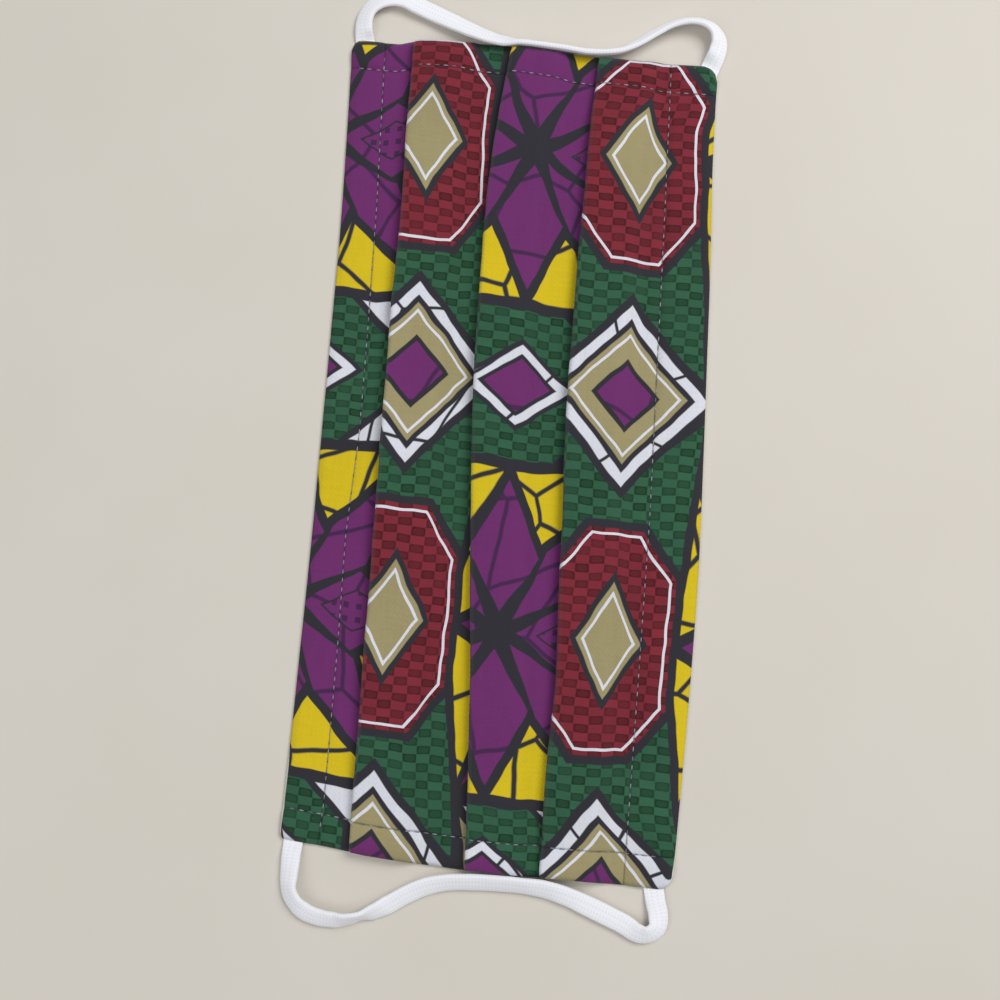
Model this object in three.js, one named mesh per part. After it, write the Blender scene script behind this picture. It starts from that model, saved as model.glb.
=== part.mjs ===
// A pleated cloth face mask, lying flat with its outer side up, with an elastic ear loop at each short end.
// Millimetres. The origin is under the middle of the panel, +X runs along its length, +Y points to the
// edge that sits on the nose when it is worn, and +Z is up.
import * as THREE from "three";

// Sewn panel
const panelLength = 203.2;
const panelHeight = 97.3;
const clothWall = 1.0;
const layerGap = 0.3;
const pleatDepth = 12;
const pleatRunOut = 6;
const foldLift = 1.2;
const endWander = 2.4;
const cornerRadius = 3.5;

// Flat elastic of the ear loops
const elasticWidth = 4.8;
const elasticThickness = 1.6;
const floorClearance = 0.05;

// How finely the panel and the elastic are divided
const panelSections = 16;
const runPieces = 4;
const turnPieces = 6;
const cornerPieces = 3;
const bandSteps = 56;
const bandArcPieces = 4;

// Sections along the panel. along: share of the length. low, folds and top: where the chin edge, the three
// visible folds and the nose edge lie, as shares of half the height. lift: share of the fold lift.
const sections = [
  { along: 0.0, low: -0.998, folds: [-0.673, -0.158, 0.303], top: 0.934, lift: 0.0 },
  { along: 0.125, low: -0.984, folds: [-0.663, -0.205, 0.291], top: 0.939, lift: 0.45 },
  { along: 0.25, low: -0.972, folds: [-0.658, -0.217, 0.278], top: 0.96, lift: 0.8 },
  { along: 0.375, low: -0.971, folds: [-0.661, -0.213, 0.275], top: 0.976, lift: 1.0 },
  { along: 0.5, low: -0.97, folds: [-0.659, -0.19, 0.283], top: 0.99, lift: 0.9 },
  { along: 0.625, low: -0.971, folds: [-0.651, -0.153, 0.304], top: 1.0, lift: 1.0 },
  { along: 0.75, low: -0.976, folds: [-0.645, -0.112, 0.32], top: 0.996, lift: 0.8 },
  { along: 0.875, low: -0.982, folds: [-0.639, -0.08, 0.311], top: 0.984, lift: 0.45 },
  { along: 1.0, low: -0.992, folds: [-0.642, -0.059, 0.313], top: 0.971, lift: 0.0 },
];

// The two short ends. across: share of half the height. left and right: how far that end stands out past
// half the length there, as shares of the end wander.
const endLines = [
  { across: -1.0, left: 0.29, right: -0.78 },
  { across: -0.75, left: 0.3, right: -0.3 },
  { across: -0.64, left: 0.92, right: 0.0 },
  { across: -0.55, left: 1.0, right: 0.2 },
  { across: -0.35, left: 0.92, right: 0.44 },
  { across: -0.1, left: 0.77, right: 0.65 },
  { across: 0.15, left: 0.35, right: 0.7 },
  { across: 0.4, left: 0.0, right: 0.78 },
  { across: 0.7, left: -0.33, right: 0.84 },
  { across: 1.0, left: -0.33, right: 1.0 },
];

// Routes of the elastic, a row for each point: how far out past half the panel's length, the place across,
// and the lean in degrees, from 0 where the band lies flat to 90 where it stands on its edge.
const leftRoute = [
  [1.0, -45.4, 15], [3.8, -45.9, 20], [6.7, -45.9, 25], [9.5, -44.8, 28], [11.5, -42.5, 28],
  [12.6, -39.4, 25], [12.6, -36.0, 20], [11.4, -32.6, 15], [9.7, -28.2, 12], [8.0, -23.6, 20],
  [6.3, -19.2, 35], [4.9, -14.8, 55], [4.0, -10.0, 75], [3.5, -4.5, 80], [3.1, 1.0, 80],
  [2.6, 6.5, 80], [2.2, 12.0, 80], [1.9, 17.0, 78], [2.6, 21.2, 72], [4.6, 25.0, 68],
  [7.1, 28.8, 66], [9.3, 32.7, 65], [10.7, 36.8, 62], [10.6, 40.9, 58], [9.0, 44.0, 50],
  [6.3, 45.4, 38], [3.4, 45.2, 25], [-0.5, 43.6, 10],
];
const rightRoute = [
  [-1.1, -44.9, 5], [2.4, -45.0, 10], [6.4, -45.4, 25], [9.9, -45.3, 38], [12.9, -43.9, 35],
  [15.2, -41.0, 25], [16.6, -37.3, 30], [16.9, -33.6, 50], [16.2, -30.1, 58], [14.9, -27.0, 45],
  [13.4, -23.6, 20], [11.3, -20.1, 12], [8.6, -16.1, 15], [6.3, -11.6, 25], [5.1, -6.6, 30],
  [4.7, -1.1, 30], [4.7, 4.9, 25], [4.8, 10.9, 20], [5.2, 16.9, 15], [6.4, 22.4, 8],
  [8.2, 27.4, 0], [10.0, 32.1, 0], [11.7, 36.4, 5], [13.2, 39.8, 20], [13.3, 42.6, 32],
  [11.4, 44.5, 26], [8.4, 44.5, 10], [5.4, 43.6, 0], [2.6, 42.9, 0],
];

const halfLength = panelLength / 2;
const halfHeight = panelHeight / 2;
const { lerp, inverseLerp, smoothstep, degToRad } = THREE.MathUtils;

// The value of a column at a place, read between the two rows of a table that the place lies between.
function between(rows, place, at, read) {
  const next = Math.max(1, rows.findIndex((row) => row[place] >= at));
  const low = rows[next - 1];
  const high = rows[next];
  const share = THREE.MathUtils.clamp(inverseLerp(low[place], high[place], at), 0, 1);
  return lerp(read(low), read(high), share);
}

// Where the end on that side lies at a place across the panel.
function endAt(side, y) {
  const column = side < 0 ? "left" : "right";
  const across = THREE.MathUtils.clamp(y / halfHeight, -1, 1);
  return side * (halfLength + endWander * between(endLines, "across", across, (row) => row[column]));
}

// Height of the middle of a layer, counted from the one that lies on the table.
function layerHeight(layer) {
  return clothWall / 2 + layer * (clothWall + layerGap);
}

// Straight stretch of a section's line up to a point.
function addRun(line, y, z, pieces = runPieces) {
  const from = line.at(-1);
  const to = new THREE.Vector2(y, z);
  for (let i = 1; i <= pieces; i++) {
    line.push(new THREE.Vector2().lerpVectors(from, to, i / pieces));
  }
}

// Half turn of a section's line about a centre, bulging towards the given side.
function addTurn(line, y, z, side) {
  const radius = (clothWall + layerGap) / 2;
  for (let i = 1; i <= turnPieces; i++) {
    const angle = -Math.PI / 2 + (side * Math.PI * i) / turnPieces;
    line.push(new THREE.Vector2(y + radius * Math.cos(angle), z + radius * Math.sin(angle)));
  }
}

// One knife pleat: under to the hidden fold, back to the visible fold, over it, and down to the table again.
function addPleat(line, fold, lift) {
  const radius = (clothWall + layerGap) / 2;
  const visible = fold + radius + clothWall / 2;
  const hidden = fold + pleatDepth - radius;
  addRun(line, hidden, layerHeight(0), 2 * runPieces);
  addTurn(line, hidden, layerHeight(0) + radius, 1);
  addRun(line, visible, layerHeight(1) + lift);
  addTurn(line, visible, layerHeight(1) + lift + radius, -1);
  addRun(line, hidden, layerHeight(2));
  for (let i = 1; i <= runPieces; i++) {
    const y = hidden + (pleatRunOut * i) / runPieces;
    const down = smoothstep(i / runPieces, 0, 1);
    line.push(new THREE.Vector2(y, lerp(layerHeight(2), layerHeight(0), down)));
  }
}

// Middle line of the cloth across the panel, from the chin edge to the nose edge.
function sectionLine(along) {
  const at = (read) => between(sections, "along", along, read);
  const low = at((row) => row.low) * halfHeight;
  const top = at((row) => row.top) * halfHeight;
  const line = [new THREE.Vector2(low, layerHeight(0))];
  addRun(line, low + cornerRadius, layerHeight(0), cornerPieces);
  for (let i = 0; i < sections[0].folds.length; i++) {
    addPleat(line, at((row) => row.folds[i]) * halfHeight, foldLift * at((row) => row.lift));
  }
  addRun(line, top - cornerRadius, layerHeight(0));
  addRun(line, top, layerHeight(0), cornerPieces);
  return line;
}

// Closed outline of the cloth round its middle line, anticlockwise.
function outlineOf(line) {
  const offset = (sign) =>
    line.map((point, i) => {
      const before = line[Math.max(i - 1, 0)];
      const after = line[Math.min(i + 1, line.length - 1)];
      const into = point.clone().sub(before).normalize();
      const out = after.clone().sub(point).normalize();
      const along = into.clone().add(out).normalize();
      const mitre = Math.max(along.dot(into.lengthSq() > 0 ? into : out), Math.SQRT1_2);
      const reach = (sign * clothWall) / 2 / mitre;
      return new THREE.Vector2(point.x - along.y * reach, point.y + along.x * reach);
    });
  return [...offset(-1), ...offset(1).reverse()];
}

// How far a rounded corner draws the end in, at a distance from the nearer long edge.
function cornerInset(distance) {
  const short = Math.max(cornerRadius - Math.max(distance, 0), 0);
  return cornerRadius - Math.sqrt(cornerRadius ** 2 - short ** 2);
}

function makePanel() {
  const positions = [];
  const faces = [];
  const outlines = [];
  for (let i = 0; i <= panelSections; i++) {
    const along = i / panelSections;
    const outline = outlineOf(sectionLine(along));
    const ys = outline.map((point) => point.x);
    const low = Math.min(...ys);
    const top = Math.max(...ys);
    const cornerSide = i === 0 ? 1 : i === panelSections ? -1 : 0;
    for (const { x: y, y: z } of outline) {
      const x = lerp(endAt(-1, y), endAt(1, y), along);
      positions.push(x + cornerSide * cornerInset(Math.min(y - low, top - y)), y, z);
    }
    outlines.push(outline);
  }
  const count = outlines[0].length;
  for (let i = 0; i < panelSections; i++) {
    for (let j = 0; j < count; j++) {
      const [a, b] = [i * count + j, i * count + ((j + 1) % count)];
      faces.push(a, b, b + count, a, b + count, a + count);
    }
  }
  for (const triangle of THREE.ShapeUtils.triangulateShape(outlines[0], [])) {
    faces.push(...triangle.toReversed());
  }
  for (const triangle of THREE.ShapeUtils.triangulateShape(outlines[panelSections], [])) {
    faces.push(...triangle.map((corner) => corner + panelSections * count));
  }
  const geometry = new THREE.BufferGeometry();
  geometry.setAttribute("position", new THREE.Float32BufferAttribute(positions, 3));
  geometry.setIndex(faces);
  geometry.computeVertexNormals();
  return geometry;
}

// Middle line of an ear loop. The band's width turns about it by the lean of the route's rows, with the
// band's inner edge up.
class BandPath extends THREE.CatmullRomCurve3 {
  constructor(route, side) {
    const standing = (elasticWidth - elasticThickness) / 2;
    const lying = elasticThickness / 2 + floorClearance;
    const points = route.map(([out, across, lean]) => {
      const height = lying + standing * Math.sin(degToRad(lean));
      return new THREE.Vector3(side * (halfLength + out), across, height);
    });
    super(points, false, "centripetal");
    this.leans = route.map((row) => side * degToRad(row[2]));
  }

  leanAt(share) {
    const place = this.getUtoTmapping(share) * (this.leans.length - 1);
    const row = Math.min(Math.floor(place), this.leans.length - 2);
    return lerp(this.leans[row], this.leans[row + 1], place - row);
  }

  computeFrenetFrames(segments) {
    const frames = { tangents: [], normals: [], binormals: [] };
    for (let i = 0; i <= segments; i++) {
      const share = i / segments;
      const tangent = this.getTangentAt(share);
      const level = new THREE.Vector3(0, 0, 1).cross(tangent).normalize();
      const width = level.applyAxisAngle(tangent, this.leanAt(share));
      frames.tangents.push(tangent);
      frames.normals.push(width.clone().cross(tangent));
      frames.binormals.push(width);
    }
    return frames;
  }
}

// Section of the elastic: flat, with round edges, its width along the shape's y.
function bandSection() {
  const radius = elasticThickness / 2;
  const shape = new THREE.Shape();
  const points = [];
  for (const side of [1, -1]) {
    for (let i = 0; i <= bandArcPieces; i++) {
      const angle = (Math.PI * i) / bandArcPieces + (side < 0 ? Math.PI : 0);
      const middle = side * (elasticWidth / 2 - radius);
      points.push(new THREE.Vector2(radius * Math.cos(angle), middle + radius * Math.sin(angle)));
    }
  }
  return shape.setFromPoints(points);
}

function makeEarLoop(route, side) {
  return new THREE.ExtrudeGeometry(bandSection(), {
    steps: bandSteps,
    extrudePath: new BandPath(route, side),
  });
}

const printedCotton = new THREE.MeshStandardMaterial({ color: 0x6f3070, roughness: 0.9, metalness: 0 });
const whiteElastic = new THREE.MeshStandardMaterial({ color: 0xe8e8ee, roughness: 0.85, metalness: 0 });

const mask = new THREE.Group();

const panel = new THREE.Mesh(makePanel(), printedCotton);
panel.name = "pleated_panel";
mask.add(panel);

const leftLoop = new THREE.Mesh(makeEarLoop(leftRoute, -1), whiteElastic.clone());
leftLoop.name = "ear_loop_left";
mask.add(leftLoop);

const rightLoop = new THREE.Mesh(makeEarLoop(rightRoute, 1), whiteElastic.clone());
rightLoop.name = "ear_loop_right";
mask.add(rightLoop);

export default mask;
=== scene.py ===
"""A pleated cloth face mask that lies flat, printed side up, with an elastic ear loop at each short end.

Sizes and tables are in millimetres, in the frame's axes. Meshes are made in metres, through MM.
"""

import logging
import math
from dataclasses import dataclass, field
from enum import Enum

import bmesh
import bpy
from mathutils import Matrix, Vector, noise
from mathutils.bvhtree import BVHTree


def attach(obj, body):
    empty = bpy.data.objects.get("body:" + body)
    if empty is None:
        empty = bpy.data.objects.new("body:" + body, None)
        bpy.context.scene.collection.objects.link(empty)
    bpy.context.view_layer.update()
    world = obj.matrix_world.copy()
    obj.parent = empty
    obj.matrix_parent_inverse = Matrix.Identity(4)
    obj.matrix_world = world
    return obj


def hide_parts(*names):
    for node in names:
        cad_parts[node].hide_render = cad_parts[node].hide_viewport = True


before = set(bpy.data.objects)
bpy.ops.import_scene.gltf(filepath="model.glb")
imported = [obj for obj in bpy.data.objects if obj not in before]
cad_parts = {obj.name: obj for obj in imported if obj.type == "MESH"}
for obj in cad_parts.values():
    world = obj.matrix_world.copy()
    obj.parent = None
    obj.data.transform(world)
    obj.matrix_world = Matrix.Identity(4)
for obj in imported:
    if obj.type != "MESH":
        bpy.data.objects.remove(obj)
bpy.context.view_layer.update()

MM = 0.001
BODY = "root"
# The real threads lie 0.35 mm apart. Both cottons draw them 0.6 mm apart, so that they show.
THREAD_PITCH = 0.6
log = logging.getLogger("mask")

Tree = bpy.types.NodeTree
Socket = bpy.types.NodeSocket
Material = bpy.types.Material
Colour = tuple[float, float, float, float]
Source = Socket | Colour
Pairs = tuple[tuple[float, float], ...]
Triple = tuple[float, float, float]
# A point of a line across the cloth: its place, its height, and how much it is a crest and a seam
Point = tuple[float, float, float, float]


def linear(hex_colour: str) -> Colour:
    """Turn an sRGB hex colour into the linear colour that a shader takes.

    Args:
        hex_colour: a colour such as "#6b2f68".

    Returns:
        Linear red, green, blue and an alpha of 1.
    """
    shares = [int(hex_colour[i : i + 2], 16) / 255 for i in (1, 3, 5)]
    lit = [c / 12.92 if c <= 0.04045 else ((c + 0.055) / 1.055) ** 2.4 for c in shares]
    return (*lit, 1.0)


def smooth(low: float, high: float, value: float) -> float:
    """Smoothstep between two limits.

    Args:
        low: where the result is 0.
        high: where the result is 1.
        value: where it is read.

    Returns:
        A share from 0 to 1.
    """
    share = min(max((value - low) / (high - low), 0.0), 1.0)
    return share * share * (3 - 2 * share)


def straight(rows: Pairs, at: float) -> float:
    """Read a table of places and values along straight lines between its rows.

    Args:
        rows: pairs of place and value, with rising places.
        at: the place to read.

    Returns:
        The value there, held at the first and last row's beyond them.
    """
    for (low, first), (high, second) in zip(rows, rows[1:]):
        if at <= high:
            share = min(max((at - low) / (high - low), 0.0), 1.0)
            return first + (second - first) * share
    return rows[-1][1]


def rounded(values: list[float], share: float) -> float:
    """Read evenly spaced values along a smooth curve through them.

    Args:
        values: the values, evenly spaced over the whole length.
        share: the place to read, from 0 to 1.

    Returns:
        The value there.
    """
    place = share * (len(values) - 1)
    i = min(int(place), len(values) - 2)
    t = place - i
    a, b, c, d = (values[min(max(k, 0), len(values) - 1)] for k in range(i - 1, i + 3))
    return b + 0.5 * t * (c - a + t * (2 * a - 5 * b + 4 * c - d + t * (3 * (b - c) + d - a)))


def ripple(x: float, y: float, along: float, across: float, seed: float) -> float:
    """Read smooth noise that has its own grain along the panel and across it.

    Args:
        x: the place along the panel.
        y: the place across it.
        along: the grain's size along the panel.
        across: the grain's size across it.
        seed: tells one noise from the next.

    Returns:
        A number from about -1 to 1.
    """
    return noise.noise(Vector((x / along, y / across, seed)))


def add_node(
    tree: Tree, kind: str, inputs: dict | None = None, out: int | str = 0, **settings: str | bool
) -> Socket:
    """Add a node with its settings and links.

    Args:
        tree: the node tree that takes it.
        kind: the node's type after "ShaderNode", such as "Math".
        inputs: what its sockets take, by name or number: a value, or another node's output to link.
        out: the output to hand back, by name or number.
        settings: properties to set, by name.

    Returns:
        That output of the new node.
    """
    made = tree.nodes.new("ShaderNode" + kind)
    for name, value in settings.items():
        setattr(made, name, value)
    for key, value in (inputs or {}).items():
        if isinstance(value, Socket):
            tree.links.new(value, made.inputs[key])
        else:
            made.inputs[key].default_value = value
    return made.outputs[out]


def start_material(name: str, roughness: float, specular: float, sheen: float) -> Material:
    """Start a material with its constant settings.

    Args:
        name: its name.
        roughness: the surface's roughness.
        specular: the strength of its mirror-like share.
        sheen: the strength of the nap that shows at grazing angles.

    Returns:
        The material.
    """
    made = bpy.data.materials.new(name)
    made.use_nodes = True
    surface = made.node_tree.nodes["Principled BSDF"]
    surface.inputs["Roughness"].default_value = roughness
    surface.inputs["Specular IOR Level"].default_value = specular
    surface.inputs["Sheen Weight"].default_value = sheen
    return made


def finish_material(made: Material, colour: Socket, normal: Socket | None = None) -> Material:
    """Link a material's pattern to its surface.

    Args:
        made: the material.
        colour: its colour.
        normal: its bumped normal, where it has one.

    Returns:
        The material.
    """
    surface = made.node_tree.nodes["Principled BSDF"]
    made.node_tree.links.new(colour, surface.inputs["Base Color"])
    if normal:
        made.node_tree.links.new(normal, surface.inputs["Normal"])
    return made


def flat_place(tree: Tree, flat_size: tuple[float, float]) -> Socket:
    """Give the place on the flat cloth.

    Args:
        tree: the material's nodes.
        flat_size: the flat cloth's length and width.

    Returns:
        A vector in millimetres.
    """
    uv = add_node(tree, "UVMap", uv_map="flat")
    return add_node(tree, "VectorMath", {0: uv, 1: (*flat_size, 1.0)}, operation="MULTIPLY")


def grid(tree: Tree, place: Socket, cell: tuple[float, float], joined: str) -> Socket:
    """Join a wave along the cloth with one across it. Both change sign from cell to cell of a grid.

    Args:
        tree: the material's nodes.
        place: the place on the cloth.
        cell: the grid's cell.
        joined: how the two are joined, such as "MULTIPLY". With that and the threads' pitch it is a plain
            weave, in which each thread goes over one and under the next.

    Returns:
        The joined waves, from -1 to 1.
    """
    turns = {0: place, 1: (math.pi / cell[0], math.pi / cell[1], 0.0)}
    turned = add_node(tree, "VectorMath", turns, operation="MULTIPLY")
    waves = add_node(tree, "VectorMath", {0: turned}, operation="SINE")
    parts = add_node(tree, "SeparateXYZ", {0: waves}).node.outputs
    return add_node(tree, "Math", {0: parts[0], 1: parts[1]}, operation=joined)


def finish_piece(mesh: bmesh.types.BMesh, name: str, materials: list[Material]) -> bpy.types.Object:
    """Turn a finished bmesh into an object at the origin.

    Args:
        mesh: the geometry, in metres. It is freed.
        name: the piece's name.
        materials: its material slots, in order.

    Returns:
        The new object, in the scene.
    """
    data = bpy.data.meshes.new(name)
    mesh.to_mesh(data)
    mesh.free()
    for material in materials:
        data.materials.append(material)
    data.shade_smooth()
    piece = bpy.data.objects.new(name, data)
    bpy.context.scene.collection.objects.link(piece)
    return piece


class Ink(Enum):
    """The colours of the print, as sRGB."""

    BLACK = "#2b2a31"
    PURPLE = "#6c2868"
    PLUM = "#43204a"
    YELLOW = "#d6bc14"
    GREEN = "#305f45"
    PINE = "#0a3218"
    RED = "#812634"
    MAROON = "#460a10"
    WHITE = "#dadbe3"
    TAN = "#9d9269"


class Fill(Enum):
    """What fills a patch of the print."""

    PURPLE = "veined purple"
    DOTTED = "purple with rows of square dots"
    YELLOW = "cracked yellow"
    GREEN = "green check"
    RED = "red check with a white line inside its edge"
    WHITE = "cracked white"
    TAN = "tan with a white line inside its edge"


@dataclass(frozen=True)
class Patch:
    """One patch of the print, a convex outline in the mirrored quarter of the repeat."""

    fill: Fill
    border: float
    corners: Pairs


@dataclass(frozen=True)
class PrintedCotton:
    """Quilting cotton in a plain weave, block printed: flat dull colours with crisp black outlines.

    The print is a generic patchwork of eight-pointed stars, checked medallions and nested lozenges. Its
    quarter is mirrored on both sides, as a folded cutting of paper is. The eye gets matt colour with a
    faint thread grain and a soft nap at grazing angles.
    """

    quarter: tuple[float, float] = (60.0, 52.0)
    phase: tuple[float, float] = (-26.0, 6.0)
    # Grain and reach of the shifts that real cloth gives a print
    wobbles: Pairs = ((42.0, 2.2), (8.0, 0.9))
    # How far each ink runs out past its patch's outline, and how softly it ends
    spread: float = 0.25
    soak: float = 0.12
    # The white line inside the edge of a red or tan patch
    line_inset: float = 1.15
    line_width: float = 0.66
    # The check's cell, where its waves turn dark and where a dark cell's rim ends
    check: tuple[float, float] = (2.0, 3.5)
    check_edge: tuple[float, float] = (-0.05, 0.08)
    check_rim: tuple[float, float] = (0.3, 0.5)
    check_middle: float = 0.75
    pale_spread: float = 0.2
    dark_spread: float = 0.3
    dot_pitch: float = 3.2
    dot_edge: tuple[float, float] = (0.15, 0.3)
    # Cell size and line width of the three nets
    veins: tuple[float, float] = (19.0, 1.0)
    cracks: tuple[float, float] = (16.0, 1.2)
    chips: tuple[float, float] = (21.0, 0.8)
    net_chance: float = 0.85
    net_softness: float = 0.35
    # Size and strength of the uneven soaking and of the slubs along and across the cloth
    clouds: tuple[tuple[Triple, float], ...] = (
        ((26.0, 26.0, 1.0), 0.16), ((6.2, 0.7, 1.0), 0.1), ((0.7, 6.2, 1.0), 0.1),
    )
    # Painted shade: how much darker the colour is drawn along the seam grooves, where the thread pulls the
    # cloth in
    painted_groove_shade: float = 0.5
    # Painted highlight: how far the colour is drawn towards white along the fold crests
    painted_crest_highlight: float = 0.04
    rolled_edge: tuple[float, float] = (0.3, 0.5)
    # Stray fibres for each millimetre, and their height in threads
    fibres: float = 1.1
    fibre_height: float = 2.2
    thread_height: float = 0.028
    patches: tuple[Patch, ...] = (
        Patch(Fill.PURPLE, 0.0, ((5.0, 0), (18.5, 8.2), (36, 0))),
        Patch(Fill.PURPLE, 0.0, ((0, 5), (9.3, 18.6), (0, 33))),
        Patch(Fill.DOTTED, 0.7, ((0, 11), (4.4, 18.6), (0, 27.5))),
        Patch(Fill.PURPLE, 0.0, ((3.6, 3.8), (20, 10.8), (37, 29.8), (11.6, 19.6))),
        Patch(Fill.YELLOW, 0.0, ((22.4, 9.4), (38.6, 1.8), (39.6, 28))),
        Patch(Fill.YELLOW, 0.0, ((10.6, 21.8), (35, 31.4), (2.4, 35.2))),
        Patch(Fill.GREEN, 0.0, ((42, 0), (60, 0), (60, 21), (51.5, 21), (42, 10.5))),
        Patch(Fill.WHITE, 1.4, ((50.5, 0), (60, 0), (60, 13))),
        Patch(Fill.PURPLE, 1.2, ((54, 0), (60, 0), (60, 8))),
        Patch(Fill.WHITE, 0.0, ((42.4, 14.2), (50.4, 23.2), (42.8, 29))),
        Patch(Fill.TAN, 0.0, ((53, 23.6), (60, 23.6), (60, 28.2), (46, 30.2))),
        Patch(Fill.GREEN, 0.0, ((38.5, 33.4), (54, 32.6), (36, 52), (0, 52), (0, 38.2))),
        Patch(Fill.RED, 2.2, ((0, 36.4), (15.5, 36.4), (27, 45.2), (27, 52), (0, 52))),
        Patch(Fill.TAN, 1.6, ((0, 43.8), (13.6, 52), (0, 52))),
        Patch(Fill.WHITE, 2.2, ((60, 31.4), (60, 52), (37.5, 52))),
        Patch(Fill.TAN, 1.6, ((60, 36.6), (60, 52), (42.9, 52))),
        Patch(Fill.PURPLE, 1.4, ((60, 45), (60, 52), (52.5, 52))),
    )

    def material(self, flat_size: tuple[float, float]) -> Material:
        """Make the material.

        Args:
            flat_size: the flat cloth's length and width that its UV map covers.

        Returns:
            The material.
        """
        made = start_material("block_printed_cotton", roughness=0.86, specular=0.28, sheen=0.12)
        tree = made.node_tree
        place = flat_place(tree, flat_size)
        colour = self.uneven_with_painted_light(tree, self.printed(tree, self.wobbled(tree, place)), place)
        return finish_material(made, colour, self.woven(tree, place))

    def wobbled(self, tree: Tree, place: Socket) -> Socket:
        """Shift the place a little, as the grain and the stretch of real cloth shift a print.

        Args:
            tree: the material's nodes.
            place: the place on the flat cloth.

        Returns:
            The shifted place.
        """
        for grain, reach in self.wobbles:
            grained = {"Vector": place, "Scale": 1 / grain, "Detail": 1.0}
            cloud = add_node(tree, "TexNoise", grained, "Color", noise_dimensions="2D")
            centred = {0: cloud, 1: (reach, reach, 0), 2: (-reach / 2, -reach / 2, 0)}
            shift = add_node(tree, "VectorMath", centred, operation="MULTIPLY_ADD")
            place = add_node(tree, "VectorMath", {0: place, 1: shift}, operation="ADD")
        return place

    def inside(self, tree: Tree, quarter: Socket, patch: Patch) -> Socket:
        """Measure how far inside a patch the place lies.

        Args:
            tree: the material's nodes.
            quarter: the place in the mirrored quarter, with 1 as its third number.
            patch: the patch.

        Returns:
            The distance to its nearest edge, negative outside. Edges on the mirrors don't count.
        """
        nearest = None
        edges = list(zip(patch.corners, patch.corners[1:] + patch.corners[:1]))
        turn = sum(a[0] * b[1] - b[0] * a[1] for a, b in edges)
        for a, b in edges:
            if any(a[k] == b[k] and a[k] in (0, self.quarter[k]) for k in (0, 1)):
                continue
            long = math.copysign(math.dist(a, b), turn)
            normal = ((a[1] - b[1]) / long, (b[0] - a[0]) / long)
            line = {0: quarter, 1: (*normal, -normal[0] * a[0] - normal[1] * a[1])}
            distance = add_node(tree, "VectorMath", line, "Value", operation="DOT_PRODUCT")
            if nearest:
                distance = add_node(tree, "Math", {0: nearest, 1: distance}, operation="MINIMUM")
            nearest = distance
        return nearest

    def printed(self, tree: Tree, place: Socket) -> Socket:
        """Lay the patches over black, one after another.

        Args:
            tree: the material's nodes.
            place: the shifted place on the flat cloth.

        Returns:
            The print's colour.
        """
        parts = add_node(tree, "SeparateXYZ", {0: place}).node.outputs
        mirrored = {2: 1.0}
        for k, (size, phase) in enumerate(zip(self.quarter, self.phase)):
            moved = add_node(tree, "Math", {0: parts[k], 1: phase}, operation="ADD")
            mirrored[k] = add_node(tree, "Math", {0: moved, 1: size}, operation="PINGPONG")
        quarter = add_node(tree, "CombineXYZ", mirrored)
        inks = self.inks(tree, place)
        shown = black = linear(Ink.BLACK.value)
        for patch in self.patches:
            depth = self.inside(tree, quarter, patch)
            if patch.border:
                shown = self.laid(tree, shown, black, depth, -patch.border)
            shown = self.laid(tree, shown, inks[patch.fill], depth, -self.spread)
            if patch.fill in (Fill.RED, Fill.TAN):
                at = {0: depth, 1: self.line_inset, 2: self.line_width / 2}
                line = add_node(tree, "Math", at, operation="COMPARE")
                mix = {0: line, 6: shown, 7: linear(Ink.WHITE.value)}
                shown = add_node(tree, "Mix", mix, 2, data_type="RGBA")
        return shown

    def laid(self, tree: Tree, under: Source, over: Source, depth: Socket, edge: float) -> Socket:
        """Lay one colour over another inside a patch.

        Args:
            tree: the material's nodes.
            under: the colour so far.
            over: the patch's colour.
            depth: the distance inside the patch.
            edge: the distance at which the patch's colour starts.

        Returns:
            The colour with the patch on it.
        """
        limits = {"Value": depth, "From Min": edge - self.soak, "From Max": edge + self.soak}
        share = add_node(tree, "MapRange", limits)
        return add_node(tree, "Mix", {0: share, 6: under, 7: over}, 2, data_type="RGBA")

    def inks(self, tree: Tree, place: Socket) -> dict[Fill, Source]:
        """Make the fills: checks, dots, veins and cracks in their two colours each, and plain tan.

        Args:
            tree: the material's nodes.
            place: the shifted place on the flat cloth.

        Returns:
            The colour of each fill.
        """
        check = self.checked(tree, place)
        pairs = {
            Fill.PURPLE: (self.netted(tree, place, *self.veins), Ink.PURPLE, Ink.PLUM),
            Fill.DOTTED: (self.dotted(tree, place), Ink.PURPLE, Ink.PLUM),
            Fill.YELLOW: (self.netted(tree, place, *self.cracks), Ink.YELLOW, Ink.BLACK),
            Fill.GREEN: (check, Ink.GREEN, Ink.PINE),
            Fill.RED: (check, Ink.RED, Ink.MAROON),
            Fill.WHITE: (self.netted(tree, place, *self.chips), Ink.WHITE, Ink.BLACK),
        }
        colours = {Fill.TAN: linear(Ink.TAN.value)}
        for fill, (share, light, dark) in pairs.items():
            mix = {0: share, 6: linear(light.value), 7: linear(dark.value)}
            colours[fill] = add_node(tree, "Mix", mix, 2, data_type="RGBA")
        return colours

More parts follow.
